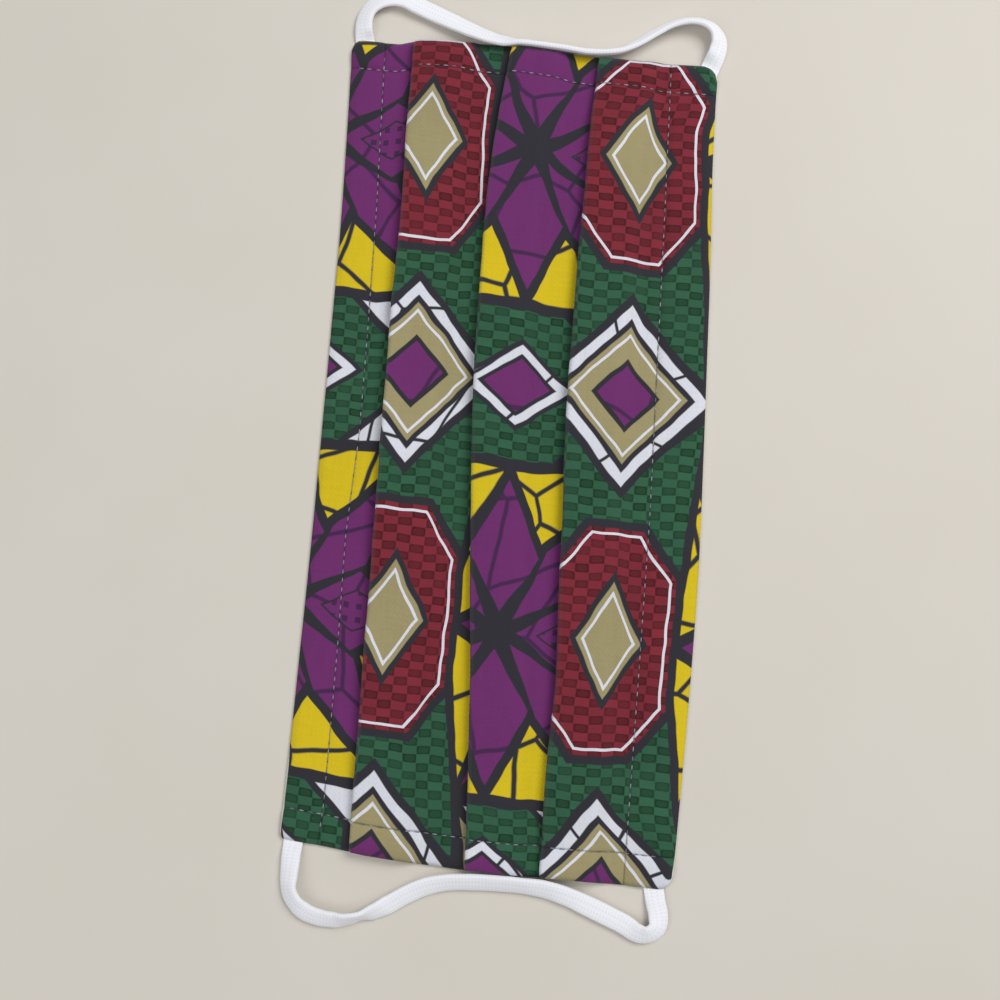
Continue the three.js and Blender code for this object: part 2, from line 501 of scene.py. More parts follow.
    def checked(self, tree: Tree, place: Socket) -> Socket:
        """Make the check: every other cell is dark, most at its rim, and no two took the ink alike.

        Args:
            tree: the material's nodes.
            place: the shifted place on the flat cloth.

        Returns:
            The share of the dark colour.
        """
        waves = grid(tree, place, self.check, "MULTIPLY")
        cells = add_node(tree, "VectorMath", {0: place, 1: (*self.check, 1.0)}, operation="DIVIDE")
        cell = add_node(tree, "VectorMath", {0: cells}, operation="FLOOR")
        chance = add_node(tree, "TexWhiteNoise", {"Vector": cell}, noise_dimensions="2D")
        pale = add_node(tree, "Math", {0: chance, 1: self.pale_spread}, operation="MULTIPLY")
        taken = {0: chance, 1: self.dark_spread, 2: 1 - self.dark_spread}
        dark = add_node(tree, "Math", taken, operation="MULTIPLY_ADD")
        limits = dict(zip(("From Min", "From Max"), self.check_edge))
        whole = add_node(tree, "MapRange", {"Value": waves, **limits, "To Min": pale, "To Max": dark})
        limits = dict(zip(("From Min", "From Max"), self.check_rim))
        framed = {"Value": waves, **limits, "To Min": 1.0, "To Max": self.check_middle}
        middle = add_node(tree, "MapRange", framed)
        return add_node(tree, "Math", {0: whole, 1: middle}, operation="MULTIPLY")

    def dotted(self, tree: Tree, place: Socket) -> Socket:
        """Make rows of square dots.

        Args:
            tree: the material's nodes.
            place: the shifted place on the flat cloth.

        Returns:
            The share of the dark colour.
        """
        waves = grid(tree, place, (self.dot_pitch / 2, self.dot_pitch / 2), "MINIMUM")
        low, high = self.dot_edge
        return add_node(tree, "MapRange", {"Value": waves, "From Min": low, "From Max": high})

    def netted(self, tree: Tree, place: Socket, cell: float, width: float) -> Socket:
        """Make an uneven net of lines.

        Args:
            tree: the material's nodes.
            place: the shifted place on the flat cloth.
            cell: the size of its cells.
            width: the width of its lines.

        Returns:
            The share of the line's colour.
        """
        cells = {"Vector": place, "Scale": 1 / cell, "Randomness": self.net_chance}
        settings = {"voronoi_dimensions": "2D", "feature": "DISTANCE_TO_EDGE"}
        net = add_node(tree, "TexVoronoi", cells, "Distance", **settings)
        low, high = (width / 2 / cell * (1 + way * self.net_softness) for way in (1, -1))
        return add_node(tree, "MapRange", {"Value": net, "From Min": low, "From Max": high})

    def uneven_with_painted_light(self, tree: Tree, colour: Socket, place: Socket) -> Socket:
        """Vary the colour: uneven soaking, slubs, painted shade along the seam grooves, a painted
        highlight on the fold crests, and the lining's rim.

        Args:
            tree: the material's nodes.
            colour: the print's colour.
            place: the place on the flat cloth.

        Returns:
            The colour with its variation.
        """
        value = 1.0
        for size, strength in self.clouds:
            stretched = add_node(tree, "VectorMath", {0: place, 1: size}, operation="DIVIDE")
            grained = {"Vector": stretched, "Scale": 1.0, "Detail": 2.0}
            cloud = add_node(tree, "TexNoise", grained, noise_dimensions="2D")
            limits = {"Value": cloud, "To Min": 1 - strength / 2, "To Max": 1 + strength / 2}
            amount = add_node(tree, "MapRange", limits, clamp=False)
            value = add_node(tree, "Math", {0: value, 1: amount}, operation="MULTIPLY")
        pinch, crest, rolled = (
            add_node(tree, "Attribute", None, "Fac", attribute_name=name)
            for name in ("pinch", "crest", "rolled")
        )
        # Painted shade along the seam grooves, strongest where the pinch attribute is 1
        seam = add_node(tree, "Math", {0: pinch, 1: -self.painted_groove_shade, 2: 1.0}, operation="MULTIPLY_ADD")
        strength = add_node(tree, "Math", {0: value, 1: seam}, operation="MULTIPLY")
        varied = add_node(tree, "VectorMath", {0: colour, "Scale": strength}, operation="SCALE")
        # Painted highlight: the fold crests are drawn paler
        pale = add_node(tree, "Math", {0: crest, 1: self.painted_crest_highlight}, operation="MULTIPLY")
        mix = {0: pale, 6: varied, 7: linear(Ink.WHITE.value)}
        uneven_with_painted_light = add_node(tree, "Mix", mix, 2, data_type="RGBA")
        low, high = self.rolled_edge
        rim = add_node(tree, "MapRange", {"Value": rolled, "From Min": low, "From Max": high})
        mix = {0: rim, 6: uneven_with_painted_light, 7: linear(PlainCotton.colour)}
        return add_node(tree, "Mix", mix, 2, data_type="RGBA")

    def woven(self, tree: Tree, place: Socket) -> Socket:
        """Raise the threads of the weave and the fibres that stand up from them.

        Args:
            tree: the material's nodes.
            place: the place on the flat cloth.

        Returns:
            The bumped normal.
        """
        grained = {"Vector": place, "Scale": self.fibres, "Detail": 3.0}
        fibres = add_node(tree, "TexNoise", grained, noise_dimensions="2D")
        threads = grid(tree, place, (THREAD_PITCH, THREAD_PITCH), "MULTIPLY")
        raised = {0: fibres, 1: self.fibre_height, 2: threads}
        height = add_node(tree, "Math", raised, operation="MULTIPLY_ADD")
        raised = {"Height": height, "Distance": self.thread_height * MM, "Strength": 0.8}
        return add_node(tree, "Bump", raised)


@dataclass(frozen=True)
class PlainCotton:
    """Unbleached lining cotton in a plain weave: a warm off-white with darker slubs, quite matt."""

    colour: str = "#e6e2da"
    slub: str = "#cfc8ba"
    slub_size: Triple = (8.0, 0.8, 1.0)
    slub_edge: tuple[float, float] = (0.5, 0.8)
    thread_height: float = 0.04

    def material(self, flat_size: tuple[float, float]) -> Material:
        """Make the material.

        Args:
            flat_size: the flat cloth's length and width that its UV map covers.

        Returns:
            The material.
        """
        made = start_material("plain_lining_cotton", roughness=0.9, specular=0.25, sheen=0.1)
        tree = made.node_tree
        place = flat_place(tree, flat_size)
        stretched = add_node(tree, "VectorMath", {0: place, 1: self.slub_size}, operation="DIVIDE")
        grained = {"Vector": stretched, "Scale": 1.0, "Detail": 2.0}
        slubs = add_node(tree, "TexNoise", grained, noise_dimensions="2D")
        low, high = self.slub_edge
        share = add_node(tree, "MapRange", {"Value": slubs, "From Min": low, "From Max": high})
        mix = {0: share, 6: linear(self.colour), 7: linear(self.slub)}
        colour = add_node(tree, "Mix", mix, 2, data_type="RGBA")
        threads = grid(tree, place, (THREAD_PITCH, THREAD_PITCH), "MULTIPLY")
        raised = {"Height": threads, "Distance": self.thread_height * MM, "Strength": 0.8}
        return finish_material(made, colour, add_node(tree, "Bump", raised))


@dataclass(frozen=True)
class KnittedElastic:
    """Flat knitted elastic, white polyester over rubber: soft lengthwise ribs made of small V stitches."""

    colour: str = "#f6f6fa"
    # Painted shade: the hollows between the knit's ribs and stitches are drawn in this darker colour
    shade: str = "#e9eaf0"
    shade_edge: tuple[float, float] = (-0.2, 0.35)
    ribs: int = 14
    rib_height: float = 0.05
    stitch: float = 0.8
    # How far a stitch slants over half a rib, in stitches, and its height in ribs
    slant: float = 1.2
    stitch_height: float = 0.3

    def material(self, length: float) -> Material:
        """Make the material.

        Args:
            length: the band's length, which its UV map covers.

        Returns:
            The material.
        """
        made = start_material("flat_knitted_elastic", roughness=0.8, specular=0.3, sheen=0.25)
        tree = made.node_tree
        uv = add_node(tree, "UVMap", uv_map="band")
        parts = add_node(tree, "SeparateXYZ", {0: uv}).node.outputs
        turns = add_node(tree, "Math", {0: parts[0], 1: self.ribs}, operation="MULTIPLY")
        rib = add_node(tree, "Math", {0: turns, 1: 0.5}, operation="PINGPONG")
        slant = add_node(tree, "Math", {0: rib, 1: self.slant}, operation="MULTIPLY")
        slanted = {0: parts[1], 1: length / self.stitch, 2: slant}
        along = add_node(tree, "Math", slanted, operation="MULTIPLY_ADD")
        turned = add_node(tree, "Math", {0: along, 1: 2 * math.pi}, operation="MULTIPLY")
        wave = add_node(tree, "Math", {0: turned}, operation="SINE")
        height = add_node(tree, "Math", {0: wave, 1: self.stitch_height, 2: rib}, operation="MULTIPLY_ADD")
        # Painted shade: the lower the knit's height, the more of the darker colour
        low, high = self.shade_edge
        share = add_node(tree, "MapRange", {"Value": height, "From Min": low, "From Max": high})
        mix = {0: share, 6: linear(self.shade), 7: linear(self.colour)}
        colour = add_node(tree, "Mix", mix, 2, data_type="RGBA")
        raised = {"Height": height, "Distance": self.rib_height * MM, "Strength": 0.5}
        return finish_material(made, colour, add_node(tree, "Bump", raised))


@dataclass(frozen=True)
class SewingThread:
    """Mid-grey spun polyester sewing thread, half matt: its shade comes and goes from stitch to stitch."""

    colour: str = "#9a99a3"
    shade: str = "#62616c"
    # The unit of the wave, which comes and goes once in 0.63 of it, so in 4.4 mm of a seam
    wave_unit: float = 7.0
    nap: float = 0.05

    def material(self) -> Material:
        """Make the material.

        Returns:
            The material.
        """
        made = start_material("spun_sewing_thread", roughness=0.6, specular=0.5, sheen=0.0)
        tree = made.node_tree
        place = add_node(tree, "TexCoord", None, "Object")
        waved = {"Vector": place, "Scale": 1 / (self.wave_unit * MM), "Distortion": 1.0}
        shades = add_node(tree, "TexWave", waved, 1, bands_direction="DIAGONAL")
        mix = {0: shades, 6: linear(self.shade), 7: linear(self.colour)}
        colour = add_node(tree, "Mix", mix, 2, data_type="RGBA")
        raised = {"Height": shades, "Distance": self.nap * MM, "Strength": 0.6}
        return finish_material(made, colour, add_node(tree, "Bump", raised))


@dataclass(frozen=True)
class PaleTable:
    """A plain pale tabletop with a faint mottle, matt, which takes soft shadows."""

    colour: str = "#dcd6cc"
    mottle: str = "#d3ccc0"
    # Mottles to the metre
    mottles: float = 14.0

    def material(self) -> Material:
        """Make the material.

        Returns:
            The material.
        """
        made = start_material("pale_table", roughness=0.7, specular=0.5, sheen=0.0)
        tree = made.node_tree
        place = add_node(tree, "TexCoord", None, "Object")
        cloud = add_node(tree, "TexNoise", {"Vector": place, "Scale": self.mottles, "Detail": 3.0})
        mix = {0: cloud, 6: linear(self.colour), 7: linear(self.mottle)}
        return finish_material(made, add_node(tree, "Mix", mix, 2, data_type="RGBA"))


@dataclass(frozen=True)
class Section:
    """One section across the panel. All but the lift are shares of half the panel's height."""

    low: float
    folds: Triple
    top: float
    lift: float


@dataclass
class PleatedPanel:
    """The sewn cotton panel: one folded cloth wall with three knife pleats and a plain lining below."""

    length: float = 203.2
    height: float = 97.3
    wall: float = 1.0
    layer_gap: float = 0.3
    end_gap: float = 0.08
    pleat_depth: float = 12.0
    run_out: float = 6.0
    fold_lift: float = 0.6
    end_wander: float = 2.4
    # Radius of the lower and the upper corner, at the short end towards -X and at the other
    corner_radii: Pairs = ((2.8, 4.2), (1.2, 3.5))
    flat_width: float = 167.0
    side_seam: float = 7.5
    stitch_room: float = 0.2
    pinch_reach: float = 0.4
    edge_strip: float = 2.4
    spare_cloth: float = 6.0
    # Where the layers start to part and lie free, inwards from the side seams
    parting: tuple[float, float] = (-2.0, 12.0)
    # Uneven lie of the folds: reach, grain along the panel, and which noise
    fold_wander: tuple[Triple, ...] = ((0.35, 23, 5.0), (0.12, 6, 9.0))
    # Waves of the cloth and the creases that the side seams drag in: height, grain along and across, noise
    waves: tuple[tuple[float, ...], ...] = ((0.55, 34, 22, 1.5), (0.25, 13, 9, 4.5), (0.07, 4.5, 3.5, 7.5))
    drag: tuple[float, ...] = (0.32, 30, 3.4, 31.5)
    drag_reach: float = 12.0
    # How far the cloth stands up within its edges, and the share of that which is left at them
    loft: float = 0.35
    edge_loft: float = 0.3
    # From which distance to which the waves grow, inwards from the ends and the edges, and the creases
    end_calm: tuple[float, float] = (2.0, 30.0)
    edge_calm: tuple[float, float] = (2.0, 14.0)
    drag_calm: tuple[float, float] = (2.0, 10.0)
    hem_height: float = 0.38
    hem_roundness: float = 0.6
    channel_depth: float = 0.4
    channel_width: float = 0.8
    # The puckers' height, the middle and width of their row beside a seam, and their uneven pitch
    pucker_height: float = 0.13
    pucker_row: tuple[float, float] = (1.3, 1.4)
    pucker_shift: float = 0.6
    # Pitch and noise of the puckers at the lower, the upper and the side seams
    puckers: Pairs = ((6.1, 2.0), (6.7, 12.0), (5.3, 22.0))
    # The rim: how far in it reaches, the share of the wall that is left at it, and how far it drops
    rim_reach: float = 1.8
    rim_share: float = 0.4
    rim_drop: float = 0.2
    seam_squeeze: float = 0.25
    # Where the lining starts to show along the lower and the upper edge, and how far on it shows in full
    lining_starts: tuple[float, float] = (74.0, 88.0)
    lining_fade: float = 12.0
    # How far each short end is drawn in for a millimetre of height, as a layer that climbs over others is
    end_slant: tuple[float, float] = (0.45, 0.17)
    rows: int = 206
    sections: tuple[Section, ...] = (
        Section(-0.998, (-0.673, -0.158, 0.303), 0.934, 0.0),
        Section(-0.984, (-0.663, -0.205, 0.291), 0.939, 0.45),
        Section(-0.972, (-0.658, -0.217, 0.278), 0.96, 0.8),
        Section(-0.971, (-0.661, -0.213, 0.275), 0.976, 1.0),
        Section(-0.97, (-0.659, -0.19, 0.283), 0.99, 0.9),
        Section(-0.971, (-0.651, -0.153, 0.304), 1.0, 1.0),
        Section(-0.976, (-0.645, -0.112, 0.32), 0.996, 0.8),
        Section(-0.982, (-0.639, -0.08, 0.311), 0.984, 0.45),
        Section(-0.992, (-0.642, -0.059, 0.313), 0.971, 0.0),
    )
    # Place across as a share of half the height, and how far the end stands out as a share of end_wander
    left_end: Pairs = (
        (-1.0, 0.55), (-0.75, 0.34), (-0.64, 0.92), (-0.55, 1.0), (-0.35, 0.92),
        (-0.1, 0.77), (0.15, 0.35), (0.4, 0.0), (0.7, -0.2), (1.0, -0.2),
    )
    right_end: Pairs = (
        (-1.0, -0.78), (-0.75, -0.3), (-0.64, 0.0), (-0.55, 0.2), (-0.35, 0.5),
        (-0.1, 0.75), (0.15, 0.85), (0.4, 0.85), (0.7, 0.86), (1.0, 1.0),
    )
    # Topstitching along the two long edges: place along the panel, place across it
    low_stitch: Pairs = (
        (-100, -40.0), (-59, -38.5), (-25, -37.9), (0, -37.7),
        (25, -38.8), (52, -38.3), (90, -38.2), (101, -38.8),
    )
    high_stitch: Pairs = (
        (-101, 33.6), (-61, 34.5), (-18, 35.3), (15, 35.9), (52, 35.8), (101, 35.6),
    )

    @property
    def half_length(self) -> float:
        """Half of the panel's length."""
        return self.length / 2

    def end_at(self, side: int, y: float) -> float:
        """Find where a short end lies.

        Args:
            side: -1 for the end towards -X, 1 for the other.
            y: the place across the panel.

        Returns:
            The end's x there.
        """
        table = self.left_end if side < 0 else self.right_end
        return side * (self.half_length + self.end_wander * straight(table, y / (self.height / 2)))

    def layer_height(self, layer: int, x: float) -> float:
        """Give the height of the middle of a layer. The layers lie closer where the ends are sewn down.

        Args:
            layer: 0 for the one on the table, up to 2.
            x: the place along the panel.

        Returns:
            The height.
        """
        closed, free = (self.side_seam + inward for inward in self.parting)
        apart = smooth(closed, free, self.half_length - abs(x))
        gap = self.end_gap + (self.layer_gap - self.end_gap) * apart
        return self.wall / 2 + layer * (self.wall + gap)

    def line_across(self, along: float) -> list[Point]:
        """Trace the middle of the cloth across the panel.

        Args:
            along: the share of the length.

        Returns:
            The point of each column.
        """
        half = self.height / 2
        x = (along - 0.5) * self.length
        low = rounded([s.low for s in self.sections], along) * half
        top = rounded([s.top for s in self.sections], along) * half
        lift = self.fold_lift * rounded([s.lift for s in self.sections], along)
        level = [self.layer_height(layer, x) for layer in range(3)]
        line = [(low, level[0], 0.0, 0.0)]

        def run(y: float, z: float, pieces: int) -> None:
            """Go straight to a point.

            Args:
                y: its place across.
                z: its height.
                pieces: how many pieces the way there is cut into.
            """
            y0, z0, _, _ = line[-1]
            for i in range(1, pieces + 1):
                line.append((y0 + (y - y0) * i / pieces, z0 + (z - z0) * i / pieces, 0.0, 0.0))

        def sew(y: float, pieces: int) -> None:
            """Go along the table to a seam and across it.

            Args:
                y: the seam's place across.
                pieces: how many pieces the way there is cut into.
            """
            run(y - self.pinch_reach, level[0], pieces)
            line.append((y, level[0], 0.0, 1.0))
            line.append((y + self.pinch_reach, level[0], 0.0, 0.0))

        def turn(y: float, z0: float, z1: float, side: int, pieces: int) -> None:
            """Turn round a centre.

            Args:
                y: the centre's place across.
                z0: the height to start from.
                z1: the height to reach.
                side: -1 to bulge towards -Y, 1 towards +Y.
                pieces: how many pieces the turn is cut into.
            """
            radius = (z1 - z0) / 2
            for i in range(1, pieces + 1):
                angle = math.pi * i / pieces
                crest = math.sin(angle) if side < 0 else 0.0
                z = (z0 + z1) / 2 - radius * math.cos(angle)
                line.append((y + side * radius * math.sin(angle), z, crest, 0.0))

        run(low + self.edge_strip, level[0], 4)
        sew(straight(self.low_stitch, x), 7)
        for i in range(3):
            wander = sum(
                reach * ripple(x, i * 40, grain, 1, seed) for reach, grain, seed in self.fold_wander
            )
            fold = rounded([s.folds[i] for s in self.sections], along) * half + wander
            radius = (self.wall + self.layer_gap) / 2
            visible = fold + radius + self.wall / 2
            hidden = fold + self.pleat_depth - radius
            run(visible, level[0], 9 if i == 0 else 15)
            run(hidden, level[0], 8)
            turn(hidden, level[0], level[1], 1, 6)
            run(visible, level[1] + lift, 8)
            turn(visible, level[1] + lift, level[2] + lift, -1, 10)
            run(hidden, level[2], 11)
            for k in range(1, 7):
                down = smooth(0, 1, k / 6)
                z = level[2] + (level[0] - level[2]) * down
                line.append((hidden + self.run_out * k / 6, z, 0.0, 0.0))
        sew(straight(self.high_stitch, x), 3)
        run(top - self.edge_strip, level[0], 9)
        run(top, level[0], 4)
        return line

    @staticmethod
    def corner_inset(radius: float, distance: float) -> float:
        """Give how far a rounded corner draws the end in.

        Args:
            radius: the corner's radius.
            distance: the distance from the nearer long edge.

        Returns:
            The inset.
        """
        short = max(radius - max(distance, 0.0), 0.0)
        return radius - math.sqrt(radius**2 - short**2)

    def place_along(self, along: float, y: float, z: float, long_edge: float) -> float:
        """Place a point between the two short ends, which wander, round off at the corners and draw in.

        Args:
            along: the share of the length.
            y: the place across the panel.
            z: the height.
            long_edge: the distance from the nearer long edge.

        Returns:
            The point's x.
        """
        ends = (self.end_at(-1, y), self.end_at(1, y))
        x = ends[0] + (ends[1] - ends[0]) * along
        climb = max(z - self.wall, 0.0)
        for side, end, slant, radii in zip((1, -1), ends, self.end_slant, self.corner_radii):
            inset = self.corner_inset(radii[0 if y < 0 else 1], long_edge) + slant * climb
            x += side * inset * (1 - smooth(0, self.side_seam - self.pinch_reach, side * (x - end)))
        return x

    def row_shares(self) -> list[float]:
        """Place the rows along the panel: evenly, with three close ones at each side seam.

        Returns:
            The rows' places, as rising shares of the length.
        """
        reach = self.pinch_reach / self.length
        shares = {i / self.rows for i in range(self.rows + 1)}
        for seam in self.seam_shares():
            shares = {share for share in shares if abs(share - seam) > 1.5 * reach}
            shares |= {seam - reach, seam, seam + reach}
        return sorted(shares)

    def seam_shares(self) -> tuple[float, float]:
        """Where the two side seams lie, as shares of the length."""
        return (self.side_seam / self.length, 1 - self.side_seam / self.length)

    def relief(self, x: float, y: float, low: float, top: float) -> float:
        """Give how far the whole stack of cloth stands up at a place: waves, hems and sewn channels.

        Args:
            x: the place along the panel.
            y: the place across it.
            low: where the lower long edge lies here.
            top: where the upper long edge lies here.

        Returns:
            The height to add, never negative.
        """
        end = min(x - self.end_at(-1, y), self.end_at(1, y) - x)
        edge = min(y - low, top - y)
        free = smooth(*self.end_calm, end) * smooth(*self.edge_calm, edge)
        waves = sum(reach * ripple(x, y, *grain) for reach, *grain in self.waves)
        reach, *grain = self.drag
        drag = reach * ripple(x, y, *grain) * math.exp(-max(end - self.side_seam, 0.0) / self.drag_reach)
        calm = self.edge_loft + (1 - self.edge_loft) * free
        height = (self.loft + waves) * calm + drag * smooth(*self.drag_calm, edge)
        # At each seam: the place's distance inside it, its distance inside the edge, and its place along
        seams = (
            (y - straight(self.low_stitch, x), y - low, x),
            (straight(self.high_stitch, x) - y, top - y, x),
            (end - self.side_seam, end, y),
        )
        beside, width = self.pucker_row
        for (seam, out, run), (pitch, seed) in zip(seams, self.puckers):
            hem = max(out - seam, 1.0)
            if 0 < out < hem:
                height += self.hem_height * math.sin(math.pi * out / hem) ** self.hem_roundness
            height -= self.channel_depth * math.exp(-((seam / self.channel_width) ** 2))
            shift = self.pucker_shift * ripple(run, seed, 17, 1, seed)
            pucker = math.sin(2 * math.pi * (run / pitch + shift))
            strength = 0.5 + 0.5 * ripple(run, seed + 3, 21, 1, seed)
            near = math.exp(-(((abs(seam) - beside) / width) ** 2))
            height += self.pucker_height * strength * pucker * near
        return max(height, self.stitch_room)

    def build(self, name: str) -> bpy.types.Object:
        """Make the cloth from a grid whose vertices are moved onto the folds.

        Args:
            name: the piece's name.

        Returns:
            The cloth, with a live Solidify.
        """
        shares = self.row_shares()
        lines = [self.line_across(share) for share in shares]
        rows, columns = len(shares) - 1, len(lines[0]) - 1
        mesh = bmesh.new()
        bmesh.ops.create_grid(mesh, x_segments=rows, y_segments=columns, size=0.5)
        edge_group = mesh.verts.layers.deform.verify()
        # crest and pinch also steer the print's painted highlight on the fold crests and its painted shade
        # along the seams
        crest, pinch, rolled = (mesh.verts.layers.float.new(name) for name in ("crest", "pinch", "rolled"))
        flat = mesh.loops.layers.uv.new("flat")
        arcs = [self.arc_lengths(line) for line in lines]
        places = {}
        for vertex in mesh.verts:
            i = round((vertex.co.x + 0.5) * rows)
            j = round((vertex.co.y + 0.5) * columns)
            places[vertex] = (shares[i], arcs[i][j] / self.flat_size()[1])
            y, z, vertex[crest], sewn = lines[i][j]
            vertex[pinch] = max(sewn, float(shares[i] in self.seam_shares()))
            if j in (0, columns):
                vertex[rolled] = self.lining_shows(shares[i], j)
            low, top = lines[i][0][0], lines[i][-1][0]
            left, x, right = (
                self.place_along(share, y, z, min(y - low, top - y)) for share in (0.0, shares[i], 1.0)
            )
            rim = min(x - left, right - x, arcs[i][j], arcs[i][-1] - arcs[i][j])
            full = smooth(0, self.rim_reach, rim)
            wall = self.rim_share + (1 - self.rim_share) * full
            vertex[edge_group][0] = wall * (1 - self.seam_squeeze * vertex[pinch])
            z += self.relief(x, y, low, top) - self.rim_drop * (1 - full)
            vertex.co = Vector((x, y, z)) * MM
        for face in mesh.faces:
            for loop in face.loops:
                loop[flat].uv = places[loop.vert]
        cottons = (PrintedCotton(), PlainCotton())
        cloth = finish_piece(mesh, name, [cotton.material(self.flat_size()) for cotton in cottons])
        cloth.vertex_groups.new(name="edge")
        solidify = cloth.modifiers.new("cloth_wall", "SOLIDIFY")
        solidify.thickness = self.wall * MM
        solidify.offset = 0.0
        solidify.vertex_group = "edge"
        solidify.thickness_vertex_group = 0.0
        solidify.material_offset = 1
        solidify.material_offset_rim = 1
        return cloth

    def lining_shows(self, along: float, column: int) -> float:
        """Give how much the lining is rolled out past the print, as it is near the corners towards +X.

        Args:
            along: the share of the length.
            column: 0 for the lower long edge, otherwise the upper one.

        Returns:
            A share from 0 to 1.
        """
        x = (along - 0.5) * self.length
        start = self.lining_starts[0 if column == 0 else 1]
        return smooth(start, start + self.lining_fade, x) * (0.8 + 0.3 * ripple(x, column, 5, 1, 41.5))

    def flat_size(self) -> tuple[float, float]:
        """The length and width of flat cloth that the UV map covers, a little more than the cut."""
        return (self.length, self.flat_width + self.spare_cloth)

    @staticmethod
    def arc_lengths(line: list[Point]) -> list[float]:
        """Measure along a line across the panel.

        Args:
            line: its points.

        Returns:
            The length from its start to each point.
        """
        arcs = [0.0]
        for (y0, z0, _, _), (y1, z1, _, _) in zip(line, line[1:]):
            arcs.append(arcs[-1] + math.hypot(y1 - y0, z1 - z0))
        return arcs


@dataclass
class Topstitching:
    """The machine stitches of the hems and side seams, on both faces of the cloth."""

    panel: PleatedPanel
    pitch: float = 2.2
    dash: float = 1.6
    thickness: float = 0.36
    proud: float = 0.05
    # A stitch's height as a share of its width
    flatness: float = 0.8
    end_margin: float = 1.5
    # Where the side seams start and end, as shares of half the panel's height
    side_reach: tuple[float, float] = (-0.985, 0.95)
    # No stitch climbs further than this. Each end is looked for from that far above or below the table.
    most_climb: float = 0.9
    look_from: float = 20.0

    def seams(self) -> list[list[Vector]]:
        """Lay out the seams as lines of stitch middles.

        Returns:
            For each seam, the places of its stitches in plan.
        """
        half = self.panel.half_length
        lines = []
        for table in (self.panel.low_stitch, self.panel.high_stitch):
            count = int((2 * half - 2 * self.end_margin) / self.pitch)
            xs = [-half + self.end_margin + (i + 0.5) * self.pitch for i in range(count)]
            lines.append([Vector((x, straight(table, x), 0)) for x in xs])
        for side in (-1, 1):
            low, top = (share * self.panel.height / 2 for share in self.side_reach)
            count = int((top - low) / self.pitch)
            ys = [low + (i + 0.5) * self.pitch for i in range(count)]
            seam = self.panel.side_seam
            lines.append([Vector((self.panel.end_at(side, y) - side * seam, y, 0)) for y in ys])
        return lines

    def build(self, name: str, cloth: bpy.types.Object) -> bpy.types.Object:
        """Lay a small dash of thread on the cloth at each stitch, above and below.

        Args:
            name: the piece's name.
            cloth: the panel that is sewn.

        Returns:
            The stitches, as one piece.
        """
        tree = BVHTree.FromObject(cloth, bpy.context.evaluated_depsgraph_get())
        mesh = bmesh.new()
        for seam in self.seams():
            for before, after in zip(seam, seam[1:]):
                middle = (before + after) / 2
                forward = (after - before).normalized()
                for up in (1, -1):
                    self.add_dash(mesh, tree, middle, forward, up)
        return finish_piece(mesh, name, [SewingThread().material()])

    def add_dash(
        self, mesh: bmesh.types.BMesh, tree: BVHTree, middle: Vector, forward: Vector, up: int
    ) -> None:
        """Add one stitch, lying along its seam on the cloth's face.

        Args:
            mesh: the stitches so far.
            tree: finds the cloth's faces.
            middle: the stitch's middle in plan, in millimetres.
            forward: the seam's direction in plan.
            up: 1 for the printed face, -1 for the underside.
        """
        ends = []
        for step in (-0.5, 0.5):
            start = (middle + forward * self.dash * step + Vector((0, 0, self.look_from * up))) * MM
            hit = tree.ray_cast(start, Vector((0, 0, -up)))[0]
            if hit is None:
                return
            ends.append(hit / MM)
        if abs(ends[0].z - ends[1].z) > self.most_climb:
            return
        along = (ends[1] - ends[0]).normalized()
        side = along.cross(Vector((0, 0, up))).normalized()
        normal = side.cross(along)
        centre = (ends[0] + ends[1]) / 2 + normal * self.proud
        size = (self.dash / 2, self.thickness / 2, self.thickness / 2 * self.flatness)
        turned = Matrix([along, side, normal]).transposed().to_4x4() @ Matrix.Diagonal((*size, 1.0))
        placed = Matrix.Translation(centre * MM) @ Matrix.Scale(MM, 4) @ turned
        made = bmesh.ops.create_icosphere(mesh, subdivisions=1, radius=1.0, matrix=placed)
        if placed.determinant() < 0:
            faces = {face for vertex in made["verts"] for face in vertex.link_faces}
            bmesh.ops.reverse_faces(mesh, faces=list(faces))


